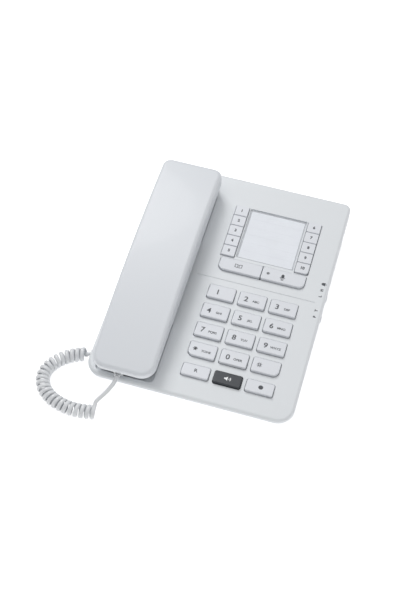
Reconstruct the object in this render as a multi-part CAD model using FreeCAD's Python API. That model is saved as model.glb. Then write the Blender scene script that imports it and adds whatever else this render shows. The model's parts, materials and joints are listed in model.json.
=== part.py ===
import FreeCAD, Part
import math
import os
from FreeCAD import Vector

# Desk telephone with a corded handset, in millimetres.
# Most pieces are drawn in the panel frame: x to the right, y up the slope from the
# panel's front edge, z along the panel's normal. tilted() puts them in the world frame.

# ---- base
left_margin = 5.8           # side wall to the handset
keypad_gap = 16.7           # handset to the keys
right_margin = 19.8         # keys to the side wall
rear_margin = 13.0          # behind the handset
front_height = 15.0         # table to the panel's front edge
panel_tilt = 6.5            # degrees
front_corner = 14.0
rear_corner = 6.0
panel_edge_round = 2.5
wall = 2.2
skirt_front = 4.0           # wall of the top housing below the panel, at the front
skirt_rear = 14.0           # and at the rear
parting_step = 0.5          # the bottom housing stands in by this much
undercut_front = 7.5
undercut_side = 2.5
undercut_rear = 4.0
foot_height = 1.5
foot_radius = 6.0
foot_recess = 0.8
fit_gap = 0.3               # between pieces that move against each other
rim_gap = 0.1               # round a piece that sits fast in a recess

# ---- handset, lying on its cradle
handset_width = 51.5
handset_length = 202.0
handset_parting = 12.0      # levels are above the panel
cup_bottom = -2.7
mouth_top = 17.5
middle_top = 27.5
ear_top = 24.0
mouth_corner = 12.0
ear_corner = 7.0
side_draft = 3.5
mouth_draft = 7.0
ear_draft = 5.0
handset_wall = 2.0
handset_edge_round = 3.5
cup_length = 56.0           # each end of the handset, up to the grip
grip_level = 8.0
grip_ramp = 9.0
grip_round = 5.0
handset_post = 3.0          # radius of the posts that take the handset's screws
weight_length = 42.0
weight_width = 20.0
weight_height = 7.0
capsule_gap = 3.75          # between the earpiece and the handset's side wall
mouth_capsule_radius = 4.85
mouth_capsule_height = 6.5
sound_hole = 1.1
well_depth = 3.0
well_gap = 1.2
well_floor = 2.0

# ---- keys
key_width = 22.2
column_gap = 3.8
key_length = 13.3
row_gap = 5.17
function_row_front = 18.3
function_key_length = 11.2
function_row_gap = 6.8
key_front_rise = 2.8        # wedge-shaped caps: above the panel at the front edge
key_rear_rise = 1.0         # and at the rear edge
strip_rise = 1.6            # flat caps of the memory keys
key_travel = 1.5
key_round = 0.7
key_corner = 1.4
outer_key_corner = 5.0
flange_lip = 1.1
flange_thickness = 0.9
opening_gap = 0.5
strip_key_gap = 0.5

# ---- two wide keys, memory strips and index window
crease_gap = 6.5            # behind the top row
crease_width = 0.8
crease_depth = 0.3
bar_gap = 15.4              # top row to the wide keys
bar_length = 12.8
strip_width = 11.2
strip_gap = 1.8             # wide keys to the strips
memory_pitch = 10.4
memory_rows = 5
window_gap = 1.3            # between the window and the strips
window_thickness = 0.8
window_sink = 0.6           # cover's face below the panel
cover_gap = 0.35
card_thickness = 0.25
card_margin = 0.8
led_radius = 1.1

# ---- boards and rubber mat, below the panel
mat_gap = 0.1               # between a dome's top and its key
dome_height = key_travel + 0.5
dome_radius = 4.0
dome_taper = 1.0
mat_thickness = 1.2
mat_rim = 2.4
board_thickness = 1.6
board_rim = 10.0
board_corner = 2.0
board_boss = 2.6
board_screw_reach = 4.0
board_screw_head = 2.2
screw_shank = 1.1
board_clearance = 0.6       # main board above the floor
main_board_width = 54.0
main_board_length = 64.0

# ---- hook switch
plunger_width = 8.0
plunger_length = 5.0
plunger_collar = 1.2
hook_travel = 5.0
spring_radius = 3.1
spring_wire = 0.8
spring_turns = 3
spring_steps = 8             # straight runs in a turn, joined by arcs
hook_switch_height = 5.0
hook_switch_width = 13.0
hook_switch_length = 10.0

# ---- slide switches in the right wall
switch_travel = 4.0
switch_depth = 6.0
switch_half_length = 6.0
knob_length = 5.0
knob_height = 2.4
knob_level = -5.0
knob_stand_out = 0.6

# ---- loudspeaker and microphone of the base
speaker_radius = 25.0
magnet_radius = 13.0
magnet_height = 6.0
cone_height = 5.0
frame_height = 3.0
microphone_radius = 3.0
microphone_height = 2.7
microphone_y = 14.0         # on the table, behind the front edge
microphone_hole = 0.6

# ---- feet, screws, wall mounting and weight of the base
foot_inset = 18.0
foot_front = 20.0
foot_rear = 21.6
screw_reach = 5.0
housing_boss = 3.3
housing_screw_radius = 1.5
screw_head_radius = 2.9
screw_head_height = 1.8
keyhole_spacing = 83.0
keyhole_radius = 4.3
keyhole_slot = 2.2
keyhole_reach = 7.0
ballast_length = 52.0
ballast_width = 60.0
ballast_height = 3.0
rib_thickness = 1.5
rib_height = 2.0

# ---- sockets, plugs and cord
line_opening = (9.9, 6.9)
line_jack_inset = 46.0      # from the left wall
line_jack_depth = 11.0
line_jack_z = 14.0
jack_inset = 22.7           # handset jack, from the handset's left side
jack_level = 7.0            # handset jack, above the panel
jack_clearance = 0.08       # base jack to the cradle's floor above it
jack_lift = 0.25            # base jack above the bottom housing's floor
plug_width = 7.6
plug_height = 6.0
plug_length = 12.0
plug_gap = 0.15
jack_wall = 1.5             # at a jack's sides
jack_roof = 0.75            # above and below a cord jack's opening
plug_shoulder = 0.6         # part of the plug's body outside the jack
plug_stand_out = 3.0
coil_radius = 6.0           # outside of the coil
tail_radius = 1.25

# ---- places that follow from the sizes
tilt = math.radians(panel_tilt)
base_width = left_margin + handset_width + keypad_gap + 3 * key_width + 2 * column_gap + right_margin
half = base_width / 2
handset_left = -half + left_margin
handset_right = handset_left + handset_width
column_left = tuple(handset_right + keypad_gap + n * (key_width + column_gap) for n in range(3))
key_left, key_right = column_left[0], column_left[-1] + key_width
dial_front = function_row_front + function_key_length + function_row_gap
row_front = tuple(dial_front + n * (key_length + row_gap) for n in (3, 2, 1, 0))
keys_rear = row_front[0] + key_length
crease_place = keys_rear + crease_gap
bar_front = keys_rear + bar_gap
bar_rear = bar_front + bar_length
bar_left, bar_right = key_left + 1.4, key_right - 0.2
bar_split = column_left[1] + key_width / 2 + 0.3
strip_front = bar_rear + strip_gap
strip_rear = strip_front + memory_rows * memory_pitch
strip_left, strip_right = key_left + 0.1, key_right - strip_width
window_left, window_right = strip_left + strip_width + window_gap, strip_right - window_gap
window_front, window_rear = strip_front + 1.2, strip_rear
base_length = max(handset_length, strip_rear + 10.0) + rear_margin    # along the slope
base_rear = base_length * math.cos(tilt)                              # on the table
skirt_slope = math.atan((skirt_rear - skirt_front) / base_length)     # to the panel
grip_front, grip_rear = cup_length, handset_length - cup_length
speaker_x, speaker_y = handset_left + handset_width / 2, handset_length / 2
ear_x, ear_y = speaker_x, handset_length - 26.0
ear_capsule_radius = handset_width / 2 - side_draft - handset_wall - capsule_gap
mouth_capsule_x, mouth_capsule_y = speaker_x + 10.0, 28.0
handset_screw_places = ((speaker_x, grip_front + 14.0), (speaker_x, grip_rear - 14.0))
led_place = (bar_split + 5.4, bar_front + bar_length / 2 + 0.2)
led_top = key_front_rise + (key_rear_rise - key_front_rise) * (led_place[1] - bar_front) / bar_length
microphone_x = column_left[1] + key_width / 2
plunger_x, plunger_y = handset_left + 12.2, handset_length - 18.0
switch_places = (("ringer_switch_knob", bar_front + 1.6), ("dial_mode_switch_knob", crease_place - 9.5))
plate_under = -wall
key_bottom = plate_under - fit_gap - flange_thickness
mat_top = key_bottom - mat_gap - dome_height
board_top = mat_top - mat_thickness
board_left, board_right = key_left - board_rim, half - 5.5
board_front, board_rear = function_row_front - mat_rim - 0.2, window_rear + 5.0
board_screw_places = (
    (board_left + 4.0, board_front + 4.3), (board_left + 4.0, crease_place - 3.5),
    (board_left + 4.0, board_rear - 6.0), (board_right - 5.5, board_front + 4.3),
    (board_right - 5.5, switch_places[1][1] - 18.0), (board_right - 5.5, board_rear - 6.0),
)
main_board_box = (handset_left + 0.2, handset_left + 0.2 + main_board_width,
                  plunger_y + 10.0 - main_board_length, plunger_y + 10.0)
floor_top = foot_height + wall
main_board_top = board_thickness - (
    front_height + main_board_box[2] * math.sin(tilt) - floor_top - board_clearance) / math.cos(tilt)
foot_places = tuple((x, y) for y in (foot_front, base_rear - foot_rear)
                    for x in (foot_inset - half, half - foot_inset))
# screws that hold the two housings: place on the table, and the height where the bosses meet
housing_screws = ((half - foot_inset, 12.0, 7.0), (board_left + 1.0, 12.0, 7.0),
                  (half - 12.0, base_rear - 10.6, 14.0), (14.0 - half, base_rear - 8.6, 14.0))
keyhole_middle = base_rear / 2 + 11.2
ballast_box = (key_left + 10.0, key_left + 10.0 + ballast_width, 40.0, 40.0 + ballast_length)
base_jack_half = plug_height / 2 + plug_gap + jack_roof
base_jack_z = floor_top + jack_lift + base_jack_half
# the jack stands as far back as its roof needs to clear the cradle's sloping floor
well_under = well_depth + well_floor
jack_front = (base_jack_z + base_jack_half + jack_clearance - front_height
              + well_under * math.cos(tilt)) / math.sin(tilt)
base_jack_y = (jack_front * math.cos(tilt) + well_under * math.sin(tilt)
               + plug_width / 2 + plug_gap + jack_wall)
line_jack_x = line_jack_inset - half
jack_x = handset_left + jack_inset

parts = {}

# ---- geometry helpers
def outline(x0, x1, y0, y1, radii, z=0.0):
    """Closed rounded rectangle. radii: front left, front right, rear right, rear left."""
    corners = ((x0, y0, 1, 1), (x1, y0, -1, 1), (x1, y1, -1, -1), (x0, y1, 1, -1))
    ends = []
    arcs = []
    for number, (x, y, sx, sy) in enumerate(corners):
        r = radii[number]
        along_x = Vector(x + sx * r, y, z)
        along_y = Vector(x, y + sy * r, z)
        first, last = (along_y, along_x) if number % 2 == 0 else (along_x, along_y)
        bulge = r * (1 - math.sqrt(0.5))
        arcs.append(Part.Arc(first, Vector(x + sx * bulge, y + sy * bulge, z), last).toShape())
        ends.append((first, last))
    edges = []
    for number in range(4):
        edges.append(arcs[number])
        edges.append(Part.LineSegment(ends[number][1], ends[(number + 1) % 4][0]).toShape())
    return Part.Wire(edges)


def slab(x0, x1, y0, y1, z0, z1, radius=0.5):
    """Plate with rounded corners between two levels; radius is one number or four."""
    radii = radius if isinstance(radius, tuple) else (radius,) * 4
    return Part.Face(outline(x0, x1, y0, y1, radii, z0)).extrude(Vector(0, 0, z1 - z0))


def box(x0, x1, y0, y1, z0, z1):
    return Part.makeBox(x1 - x0, y1 - y0, z1 - z0, Vector(x0, y0, z0))


def rod(x, y, z0, z1, radius):
    return Part.makeCylinder(radius, z1 - z0, Vector(x, y, z0))


def across(points, x0, x1):
    """Extrudes a side view, given as (y, z) points, along x."""
    places = [Vector(x0, y, z) for y, z in points]
    face = Part.Face(Part.makePolygon(places + places[:1]))
    return face.extrude(Vector(x1 - x0, 0, 0))


def rounded(shape, radius, chosen):
    """Fillets the edges that chosen(edge) picks."""
    return shape.makeFillet(radius, [e for e in shape.Edges if chosen(e)])


def joined(shapes):
    whole = shapes[0]
    if len(shapes) > 1:
        whole = whole.fuse(list(shapes[1:]))
    return whole.removeSplitter()


def less(shape, cutters):
    return shape.cut(list(cutters))


def tilted(shape):
    """From the panel frame to the world frame."""
    copy = shape.copy()
    copy.rotate(Vector(0, 0, 0), Vector(1, 0, 0), panel_tilt)
    copy.translate(Vector(0, 0, front_height))
    return copy


def world(x, y, z):
    """The world place of a panel-frame point."""
    return Vector(
        x,
        y * math.cos(tilt) - z * math.sin(tilt),
        front_height + y * math.sin(tilt) + z * math.cos(tilt),
    )


def tube_along(points, radius, name):
    """Round tube of straight runs joined by the largest tangent arcs that the runs allow."""
    places = [Vector(*p) for p in points]
    edges = []
    start = places[0]
    radii = []
    for before, corner, after in zip(places, places[1:], places[2:]):
        run_in = corner - before
        run_out = after - corner
        turn = run_in.getAngle(run_out)
        reach = 0.45 * min(run_in.Length, run_out.Length)
        unit_in = Vector(run_in).normalize()
        unit_out = Vector(run_out).normalize()
        arc_start = corner - unit_in * reach
        arc_end = corner + unit_out * reach
        bend = reach / math.tan(turn / 2)
        inward = (unit_out - unit_in).normalize()
        middle = corner + inward * (bend / math.cos(turn / 2) - bend)
        edges.append(Part.LineSegment(start, arc_start).toShape())
        edges.append(Part.Arc(arc_start, middle, arc_end).toShape())
        start = arc_end
        radii.append(bend)
    edges.append(Part.LineSegment(start, places[-1]).toShape())
    path = Part.Wire(edges)
    section = Part.Wire([Part.Circle(places[0], places[1] - places[0], radius).toShape()])
    tube = path.makePipeShell([section], True, False)
    ratio = tube.Volume / (math.pi * radius**2 * path.Length)
    print(name, "length", round(path.Length, 1), "volume ratio", round(ratio, 4),
          "radii", [round(r, 1) for r in radii])
    return tube


# ---- handset outline at any height, used by the shells and by the cradle
def handset_ends(level, inset):
    """Edges of the handset's plan at a level: full above the parting, drafted below it."""
    share = max(0.0, (handset_parting - level) / (handset_parting - cup_bottom))
    x0 = handset_left + share * side_draft + inset
    x1 = handset_left + handset_width - share * side_draft - inset
    y0 = share * mouth_draft + inset
    y1 = handset_length - share * ear_draft - inset
    radii = (mouth_corner - inset, mouth_corner - inset, ear_corner - inset, ear_corner - inset)
    return x0, x1, y0, y1, radii


def handset_wire(level, inset):
    x0, x1, y0, y1, radii = handset_ends(level, inset)
    return outline(x0, x1, y0, y1, radii, level)


def handset_upper(inset):
    """The part above the parting, under the arched top."""
    x0, x1, y0, y1, radii = handset_ends(handset_parting, inset)
    low = handset_parting - (1.0 if inset else 0.0)
    prism = slab(x0, x1, y0, y1, low, middle_top + 5, radii)
    arch_line = Part.Circle(
        Vector(0, 0, mouth_top),
        Vector(0, handset_length / 2, middle_top),
        Vector(0, handset_length, ear_top),
    )
    centre = arch_line.Center
    arch = Part.makeCylinder(arch_line.Radius - inset, x1 - x0 + 2, Vector(x0 - 1, centre.y, centre.z),
                             Vector(1, 0, 0))
    return prism.common(arch)


def handset_lower(inset):
    """The part below the parting: two cups with the finger gap between them."""
    bottom = cup_bottom + inset
    wires = [handset_wire(bottom, inset), handset_wire(handset_parting, inset)]
    solid = Part.makeLoft(wires, True, True)
    gap = across(
        [
            (grip_front - inset, bottom - 1),
            (grip_front + grip_ramp - inset, grip_level + inset),
            (grip_rear - grip_ramp + inset, grip_level + inset),
            (grip_rear + inset, bottom - 1),
        ],
        handset_left - 5,
        handset_left + handset_width + 5,
    )
    gap = rounded(gap, grip_round, lambda e: abs(e.CenterOfMass.z - grip_level - inset) < 0.1
                  and e.BoundBox.XLength > handset_width)
    return solid.cut(gap)


# ---- keys: name, plan edges, corner radii, which sides carry the retaining lip
def key_table():
    keys = []
    names = (("key_1", "key_2", "key_3"), ("key_4", "key_5", "key_6"),
             ("key_7", "key_8", "key_9"), ("key_star", "key_0", "key_hash"))
    small = key_corner
    for front, row in zip(row_front, names):
        for left, name in zip(column_left, row):
            radii = [small] * 4
            if name == "key_star":
                radii[0] = outer_key_corner
            if name == "key_hash":
                radii[1] = outer_key_corner
            keys.append((name, left, left + key_width, front, front + key_length, tuple(radii), "xy"))
    for left, name in zip(column_left, ("key_flash", "key_speaker", "key_redial")):
        rear = function_row_front + function_key_length
        keys.append((name, left, left + key_width, function_row_front, rear, (small,) * 4, "xy"))
    for side, left in (("left", strip_left), ("right", strip_right)):
        for row in range(memory_rows):
            number = memory_rows - row + (memory_rows if side == "right" else 0)
            front = strip_front + row * memory_pitch
            radii = [0.6] * 4
            if row == 0 and side == "right":
                radii[1] = 3.0
            keys.append(("memory_key_%d" % number, left, left + strip_width, front,
                         front + memory_pitch - strip_key_gap, tuple(radii), "x"))
    middle = strip_key_gap / 2
    keys.append(("key_store", bar_left, bar_split - middle, bar_front, bar_rear,
                 (outer_key_corner, small, small, small), "left y"))
    keys.append(("key_mute", bar_split + middle, bar_right, bar_front, bar_rear,
                 (small, outer_key_corner, small, small), "right y"))
    return keys


def grown(x0, x1, y0, y1, amount, sides):
    """Plan edges moved out by amount on the sides that are named."""
    left = amount if ("x" in sides or "left" in sides) else 0.0
    right = amount if ("x" in sides or "right" in sides) else 0.0
    ends = amount if "y" in sides else 0.0
    return x0 - left, x1 + right, y0 - ends, y1 + ends


def make_key(x0, x1, y0, y1, radii, sides):
    """Cap with a sloping or flat top, and the lip that holds it under the panel."""
    front, rear = (strip_rise, strip_rise) if sides == "x" else (key_front_rise, key_rear_rise)
    above = max(front, rear) + 1
    cap = slab(x0, x1, y0, y1, key_bottom, above, radii)
    slope = (rear - front) / (y1 - y0)
    cap = cap.cut(across([(y0 - 1, front - slope), (y1 + 1, rear + slope), (y1 + 1, above + 1),
                          (y0 - 1, above + 1)], x0 - 1, x1 + 1))
    cap = rounded(cap, min(key_round, 0.8 * min(radii)),
                  lambda e: e.BoundBox.ZMin > min(front, rear) - 0.01)
    fx0, fx1, fy0, fy1 = grown(x0, x1, y0, y1, flange_lip, sides)
    flange = slab(fx0, fx1, fy0, fy1, key_bottom, key_bottom + flange_thickness, 0.5)
    return joined([cap, flange])


def keys():
    for name, x0, x1, y0, y1, radii, sides in key_table():
        key = make_key(x0, x1, y0, y1, radii, sides)
        if name == "key_mute":
            key = less(key, [rod(*led_place, key_bottom - 1, key_front_rise + 1, led_radius + 0.2)])
        parts[name] = tilted(key)


def key_openings():
    """Cuts through the panel: one for each single key, one for each strip, one for the bar."""
    cuts = []
    low, high = plate_under - 1, 1.0
    for name, x0, x1, y0, y1, radii, sides in key_table():
        if sides == "xy":
            g = opening_gap
            wider = tuple(r + g for r in radii)
            cuts.append(slab(x0 - g, x1 + g, y0 - g, y1 + g, low, high, wider))
    g = opening_gap
    rear = strip_rear - strip_key_gap
    for left in (strip_left, strip_right):
        cuts.append(slab(left - g, left + strip_width + g, strip_front - g, rear + g, low, high, 0.9))
    cuts.append(slab(bar_left - g, bar_right + g, bar_front - g, bar_rear + g, low, high,
                     (outer_key_corner + g, outer_key_corner + g, key_corner + g, key_corner + g)))
    return cuts


# ---- cradle wells
def wells(depth, extra, low_extra=0.0):
    """The two pockets that take the handset's cups; extra grows them into their own walls."""
    grow = well_gap + extra
    x0, x1, y0, y1, _ = handset_ends(0.0, -grow)
    slope = grip_ramp * (1.0 - cup_bottom) / (grip_level + 1.0 - cup_bottom)
    solids = []
    wide, tight = 4.0 + extra, 1.0 + extra
    for front, rear, radii in ((y0, grip_front + slope + grow, (wide, wide, tight, tight)),
                               (grip_rear - slope - grow, y1, (tight, tight, wide, wide))):
        solids.append(slab(x0, x1, front, rear, -depth - low_extra, 0.0, radii))
    return solids


def grille_slots(x, y, radius, pitch, width, low, high):
    """Parallel slots that fill a circle."""
    slots = []
    count = int(radius / pitch)
    for step in range(-count, count + 1):
        reach = math.sqrt(max(radius**2 - (step * pitch) ** 2, 4.0))
        place = y + step * pitch
        slots.append(slab(x - reach, x + reach, place - width / 2, place + width / 2,
                          low, high, width * 0.45))
    return slots


def top_housing():
    front = (front_corner, front_corner, rear_corner, rear_corner)
    inner = tuple(r - wall for r in front)
    body = slab(-half, half, 0, base_length, -skirt_rear, 0, front)
    body = rounded(body, panel_edge_round, lambda e: e.BoundBox.ZMin > -0.01)
    hollow = slab(-half + wall, half - wall, wall, base_length - wall, -skirt_rear - 1, plate_under, inner)
    below = across([(0, -skirt_front), (base_length, -skirt_rear), (base_length, -skirt_rear - 1),
                    (0, -skirt_rear - 1)], -half, half)
    body = less(body, [hollow, below])
    # bosses for the board, then the wells and the housing bosses
    adds = [rod(x, y, board_top, plate_under, board_boss) for x, y in board_screw_places]
    adds += wells(well_depth, wall - 0.2, well_floor)
    body = joined([body] + adds)
    cuts = key_openings() + wells(well_depth, 0.0)
    cuts.append(slab(window_left, window_right, window_front, window_rear,
                     -window_sink - window_thickness - card_thickness, 1.0, 1.0))
    cuts.append(box(handset_right + 3, half - 8, crease_place - crease_width / 2,
                    crease_place + crease_width / 2, -crease_depth, 1.0))
    cuts += [rod(x, y, board_top - 1, board_top + board_screw_reach, screw_shank)
             for x, y in board_screw_places]
    cuts += grille_slots(speaker_x, speaker_y, 18.0, 4.5, 1.8, plate_under - 1, 1.0)
    cuts.append(slab(plunger_x - plunger_width / 2 - fit_gap, plunger_x + plunger_width / 2 + fit_gap,
                     plunger_y - plunger_length / 2 - fit_gap, plunger_y + plunger_length / 2 + fit_gap,
                     -well_depth - well_floor - 1, 1.0, 1.3))
    for _, y in switch_places:
        cuts.append(box(half - wall - 1, half + 1, y - (knob_length + switch_travel) / 2 - fit_gap,
                        y + (knob_length + switch_travel) / 2 + fit_gap,
                        knob_level - knob_height / 2 - fit_gap, knob_level + knob_height / 2 + fit_gap))
    shell = tilted(less(body, cuts))
    # vertical bosses under the panel, trimmed to its underside
    under = tilted(slab(-half + 1, half - 1, 1, base_length - 1, -skirt_rear * 3, plate_under + 0.5, 5.0))
    bosses = []
    for x, y, meet in housing_screws:
        pilot = rod(x, y, meet - 1, meet + screw_reach + 0.5, housing_screw_radius)
        bosses.append(less(rod(x, y, meet, 60, housing_boss), [pilot]).common(under))
    shell = joined([shell] + bosses)
    return less(shell, jack_windows())


# ---- bottom housing: a wedge-shaped tray between the skirt and the table
def tray(inset, floor_level):
    """Solid between the skirt's lower plane and floor_level, all its sides moved in by inset."""
    step = parting_step + inset
    radii_top = (front_corner - step, front_corner - step, rear_corner - step, rear_corner - step)
    raise_top = 1.0 if inset > 0 else 0.0
    longer = 1 / math.cos(skirt_slope)
    top = outline(-half + step, half - step, step * longer, (base_length - step) * longer,
                  radii_top, raise_top)
    top.rotate(Vector(0, 0, 0), Vector(1, 0, 0), -math.degrees(skirt_slope))
    top.translate(Vector(0, 0, -skirt_front))
    top = tilted(top)
    front = undercut_front + step
    low = outline(-half + undercut_side + step, half - undercut_side - step, front,
                  base_rear - undercut_rear - step, radii_top, floor_level)
    return Part.makeLoft([low, top], True, True)


def bottom_housing():
    body = less(tray(0.0, foot_height), [tray(wall, floor_top)])
    bosses = [rod(x, y, foot_height + 0.5, meet, housing_boss) for x, y, meet in housing_screws]
    ribs = []
    x0, x1, y0, y1 = ballast_box
    for y in (y0 - fit_gap - rib_thickness, y1 + fit_gap):
        ribs.append(box(x0, x1, y, y + rib_thickness, foot_height + 0.5, floor_top + rib_height))
    body = joined([body] + bosses + ribs)
    cuts = []
    for x, y, meet in housing_screws:
        cuts.append(rod(x, y, 0, meet + 1, housing_screw_radius + 0.2))
        cuts.append(rod(x, y, 0, foot_height + foot_recess + screw_head_height, screw_head_radius + fit_gap))
    for x, y in foot_places:
        cuts.append(rod(x, y, 0, foot_height + foot_recess, foot_radius + rim_gap))
    for side in (-1, 1):
        y = keyhole_middle + side * keyhole_spacing / 2
        cuts.append(rod(0, y, 0, floor_top + 1, keyhole_radius))
        cuts.append(box(-keyhole_slot, keyhole_slot, y, y + keyhole_reach, 0, floor_top + 1))
        cuts.append(rod(0, y + keyhole_reach, 0, floor_top + 1, keyhole_slot))
    cuts += grille_slots(speaker_x, speaker_y, 14.0, 4.0, 1.6, 0, floor_top + 1)
    cuts.append(rod(microphone_x, microphone_y, 0, floor_top + 1, microphone_hole))
    cuts += [tilted(well) for well in wells(well_depth, wall - 0.2 + fit_gap, well_floor + fit_gap)]
    return less(body, cuts + jack_windows())


# ---- jacks
def line_jack_front():
    """World y of the line jack's open face, just inside the rear wall."""
    return base_rear - undercut_rear


def jack_windows():
    """Window through the left wall for the cord's jack and through the rear wall for the line's."""
    side = plug_width / 2 + plug_gap + jack_wall + rim_gap
    rise = plug_height / 2 + plug_gap + jack_roof + rim_gap
    left = box(-half - 5, -half + 12, base_jack_y - side, base_jack_y + side,
               base_jack_z - rise, base_jack_z + rise)
    half_width = line_opening[0] / 2 + jack_wall + rim_gap
    half_height = line_opening[1] / 2 + jack_wall + rim_gap
    y = line_jack_front()
    rear = box(line_jack_x - half_width, line_jack_x + half_width, y - 8, y + 12,
               line_jack_z - half_height, line_jack_z + half_height)
    return [left, rear]


def socket(width, height, depth, walls):
    """Jack body opening towards -y, centred on x = 0, z = 0, its face at y = 0, with contacts."""
    side, top = walls
    shell = box(-width / 2 - side, width / 2 + side, 0, depth, -height / 2 - top, height / 2 + top)
    hollow = box(-width / 2, width / 2, -1, depth - 1.5, -height / 2, height / 2)
    return less(shell, [hollow])


def jacks():
    depth = plug_length + 1.0
    opening = (plug_width + 2 * plug_gap, plug_height + 2 * plug_gap)
    walls = (jack_wall, jack_roof)
    base_jack = socket(*opening, depth, walls)
    base_jack.rotate(Vector(0, 0, 0), Vector(0, 0, 1), -90)
    base_jack.translate(Vector(base_jack_face(), base_jack_y, base_jack_z))
    parts["base_cord_jack"] = base_jack
    handset_jack = socket(*opening, depth, walls)
    handset_jack.translate(Vector(jack_x, handset_jack_face(), jack_level))
    parts["handset_cord_jack"] = tilted(handset_jack)
    line_jack = socket(*line_opening, line_jack_depth, (jack_wall, jack_wall))
    line_jack.rotate(Vector(0, 0, 0), Vector(0, 0, 1), 180)
    line_jack.translate(Vector(line_jack_x, line_jack_front(), line_jack_z))
    parts["line_jack"] = line_jack


def base_jack_face():
    """World x of the base jack's face, just inside the left wall."""
    return -half + 1.4


def handset_jack_face():
    """Panel-frame y of the handset jack's face, behind the drafted end."""
    share = (handset_parting - jack_level) / (handset_parting - cup_bottom)
    return share * mouth_draft + 0.8


def plug(face):
    """Cord plug pointing towards +y, its shoulder just outside a jack face at y = face."""
    body = box(-plug_width / 2, plug_width / 2, face - plug_shoulder, face + plug_length - 1.2,
               -plug_height / 2, plug_height / 2)
    tail = slab(-2.6, 2.6, -2.0, 2.0, 0, plug_stand_out, 1.2)
    tail.rotate(Vector(0, 0, 0), Vector(1, 0, 0), 90)
    tail.translate(Vector(0, face - plug_shoulder, 0))
    return joined([body, tail])


def plugs():
    at_handset = plug(0.0)
    at_handset.translate(Vector(jack_x, handset_jack_face(), jack_level))
    parts["cord_plug_handset"] = tilted(at_handset)
    at_base = plug(0.0)
    at_base.rotate(Vector(0, 0, 0), Vector(0, 0, 1), -90)
    at_base.translate(Vector(base_jack_face(), base_jack_y, base_jack_z))
    parts["cord_plug_base"] = at_base


def cord():
    """The coiled stretch as one fat tube, and the straight lead up to the handset."""
    x, y, z = base_jack_face() - plug_shoulder - plug_stand_out, base_jack_y, base_jack_z
    coil_steps = ((0, 0, 0), (-12.0, -4.0, -1.2), (-23.5, -13.0, -1.8), (-29.8, -26.0, -1.8),
                  (-26.2, -39.4, -1.8), (-14.6, -48.8, -1.8), (0.0, -52.6, -1.8),
                  (12.4, -52.2, -1.8), (22.0, -49.8, -1.8))
    points = [(x + dx, y + dy, z + dz) for dx, dy, dz in coil_steps]
    parts["cord_coil"] = tube_along(points, coil_radius, "cord_coil")
    end = world(jack_x, handset_jack_face() - plug_shoulder - plug_stand_out, jack_level)
    # the first run leaves the plug square on, down the slope
    first = (0, -5.0 * math.cos(tilt), -5.0 * math.sin(tilt))
    lead_steps = ((0, 0, 0), first, (-2.4, -10.5, -3.2), (-6.2, -15.9, -6.4),
                  (-10.3, -21.3, -9.0), (-14.2, -26.3, -10.8))
    points = [(end.x + dx, end.y + dy, end.z + dz) for dx, dy, dz in lead_steps]
    parts["cord_tail"] = tube_along(points, tail_radius, "cord_tail")


# ---- handset pieces
def handset():
    upper = rounded(handset_upper(0.0), handset_edge_round,
                    lambda e: e.BoundBox.ZMin > handset_parting + 0.5)
    top = less(upper, [handset_upper(handset_wall)])
    posts = [rod(x, y, handset_parting - 1, 40, handset_post) for x, y in handset_screw_places]
    inside = handset_upper(handset_wall - 0.3)
    posts = [post.common(inside) for post in posts]
    top = joined([top] + posts)
    pilots = [rod(x, y, handset_parting - 2, handset_parting + 6, screw_shank + rim_gap)
              for x, y in handset_screw_places]
    parts["handset_top_shell"] = tilted(less(top, pilots))

    lower = handset_lower(0.0)
    *edges, radii = handset_ends(handset_parting, handset_wall)
    mouth = slab(*edges, handset_parting - 0.05, handset_parting + 1, radii)
    hollow = joined([handset_lower(handset_wall), mouth])
    bottom = less(lower, [hollow])
    bosses = [rod(x, y, grip_level + 0.5, handset_parting - 1, handset_post)
              for x, y in handset_screw_places]
    bottom = joined([bottom] + bosses)
    cuts = []
    for x, y in handset_screw_places:
        cuts.append(rod(x, y, grip_level - 1, handset_parting + 1, screw_shank + 0.25))
        cuts.append(rod(x, y, grip_level - 1, grip_level + 1.6, 2.4))
    low, high = cup_bottom - 1, cup_bottom + handset_wall + 1
    cuts += [rod(ear_x, ear_y, low, high, sound_hole)]
    for ring, count in ((4.2, 6), (8.4, 12)):
        for step in range(count):
            angle = 2 * math.pi * step / count
            cuts.append(rod(ear_x + ring * math.cos(angle), ear_y + ring * math.sin(angle),
                            low, high, sound_hole))
    cuts += [rod(mouth_capsule_x + dx, mouth_capsule_y, low, high, 0.9) for dx in (-3.0, 0.0, 3.0)]
    half_width = plug_width / 2 + plug_gap + jack_wall + rim_gap
    half_height = plug_height / 2 + plug_gap + jack_roof + rim_gap
    cuts.append(box(jack_x - half_width, jack_x + half_width, -2, handset_jack_face() + 6,
                    jack_level - half_height, jack_level + half_height))
    parts["handset_bottom_shell"] = tilted(less(bottom, cuts))

    floor = cup_bottom + handset_wall
    earpiece = joined([rod(ear_x, ear_y, floor, floor + 3.0, ear_capsule_radius),
                       rod(ear_x, ear_y, floor + 3.0, floor + 8.0, ear_capsule_radius * 0.55)])
    parts["earpiece_capsule"] = tilted(earpiece)
    parts["mouthpiece_capsule"] = tilted(rod(mouth_capsule_x, mouth_capsule_y, floor,
                                             floor + mouth_capsule_height, mouth_capsule_radius))
    weight = slab(speaker_x - weight_width / 2, speaker_x + weight_width / 2,
                  speaker_y - weight_length / 2, speaker_y + weight_length / 2,
                  grip_level + handset_wall, grip_level + handset_wall + weight_height, 2.0)
    parts["handset_weight"] = tilted(weight)
    screws = []
    for x, y in handset_screw_places:
        head = rod(x, y, grip_level, grip_level + 1.6, 2.1)
        screws.append(joined([head, rod(x, y, grip_level + 1.6, handset_parting + 6, screw_shank)]))
    parts["handset_screws"] = tilted(Part.makeCompound(screws))


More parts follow.
